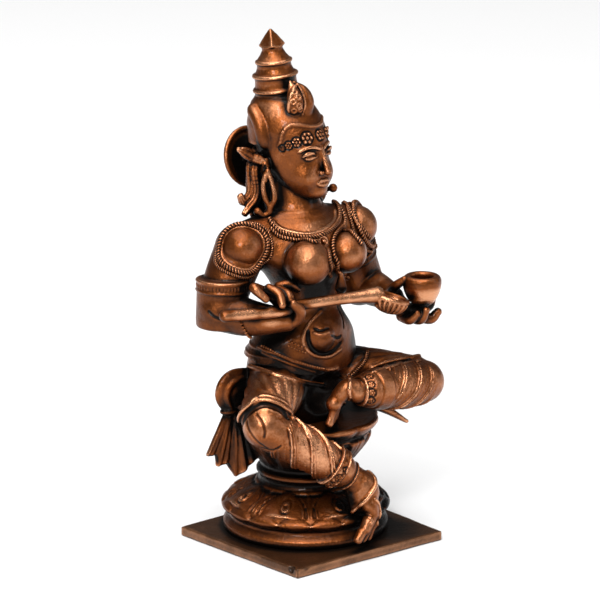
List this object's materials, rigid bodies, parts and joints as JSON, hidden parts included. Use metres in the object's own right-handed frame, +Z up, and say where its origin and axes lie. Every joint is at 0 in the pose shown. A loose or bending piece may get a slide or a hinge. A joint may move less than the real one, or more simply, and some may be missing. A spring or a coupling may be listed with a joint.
{
  "type": "seated goddess figurine",
  "caption": "Cast copper-alloy figurine of a crowned goddess seated on a lotus throne, holding a long ladle and a small open pot, on a square base plate.",
  "frame": {"origin": "middle of the base plate's underside", "axes": "+Z up, the figure faces -Y, her right side is at -X and her left side at +X"},
  "size_m": [0.0968, 0.0726, 0.1973],
  "materials": {
    "plate_patina": "dark grey-brown patina on copper-alloy sheet, satin",
    "copper_patina": "cast copper alloy, warm and polished on the high parts, near-black patina in the hollows"
  },
  "bodies": {
    "root": {"plate": "plate_patina", "figure": "copper_patina"}
  },
  "joints": []
}
